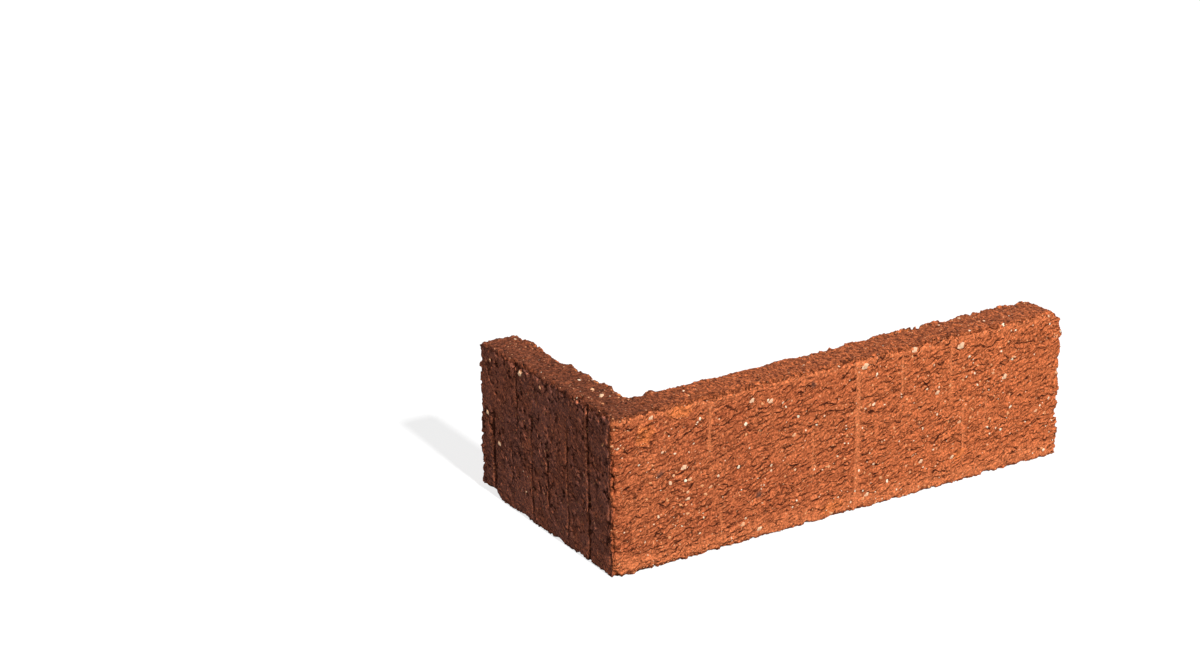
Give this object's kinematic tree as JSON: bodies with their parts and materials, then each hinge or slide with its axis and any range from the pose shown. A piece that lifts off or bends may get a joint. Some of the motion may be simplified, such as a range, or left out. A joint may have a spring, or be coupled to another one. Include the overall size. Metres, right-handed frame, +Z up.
{
  "type": "thin brick corner",
  "caption": "L-shaped thin brick corner unit of fired red clay with a torn, drag-scored face; it wraps a wall's outside corner so that a thin facing looks like a whole brick.",
  "frame": {"origin": "middle of the bounding box's underside, level with the bed that the unit stands on", "axes": "+X along the long leg, away from the outer corner; +Y along the return leg, away from the outer corner; +Z up, across the courses. The long face looks towards -Y and the return face towards -X"},
  "size_m": [0.1938, 0.0921, 0.0572],
  "materials": {
    "fired_clay": "matt, torn and sandy"
  },
  "bodies": {
    "root": {"thin_brick_corner": "fired_clay"}
  },
  "joints": []
}
